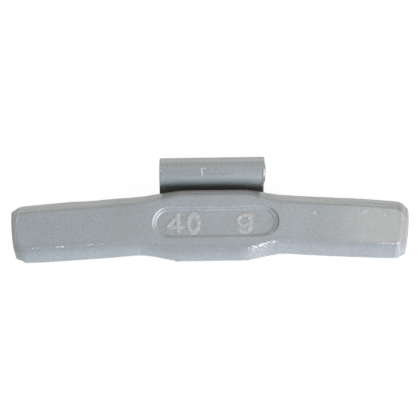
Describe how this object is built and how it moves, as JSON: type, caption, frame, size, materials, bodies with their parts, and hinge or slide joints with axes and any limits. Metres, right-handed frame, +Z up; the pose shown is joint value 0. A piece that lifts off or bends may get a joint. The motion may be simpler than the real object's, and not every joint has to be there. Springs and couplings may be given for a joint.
{
  "type": "wheel balance weight",
  "caption": "Clip-on wheel balance weight: a curved iron bar with bevelled edges, a raised boss with a recess in its face, and a spring clip that hooks over a rim's lip.",
  "frame": {"origin": "middle of the clip's round seat, where the rim's lip sits", "axes": "+X along the bar, to the right as its face is read; +Y towards the clip; +Z up, with the weight lying on its back"},
  "size_m": [0.0804, 0.0242, 0.0098],
  "materials": {
    "body_coat": "satin grey coating with a fine grain over iron",
    "clip_coat": "satin grey coating, smoother, over spring steel"
  },
  "bodies": {
    "root": {"weight_body": "body_coat", "rim_clip": "clip_coat"}
  },
  "joints": []
}
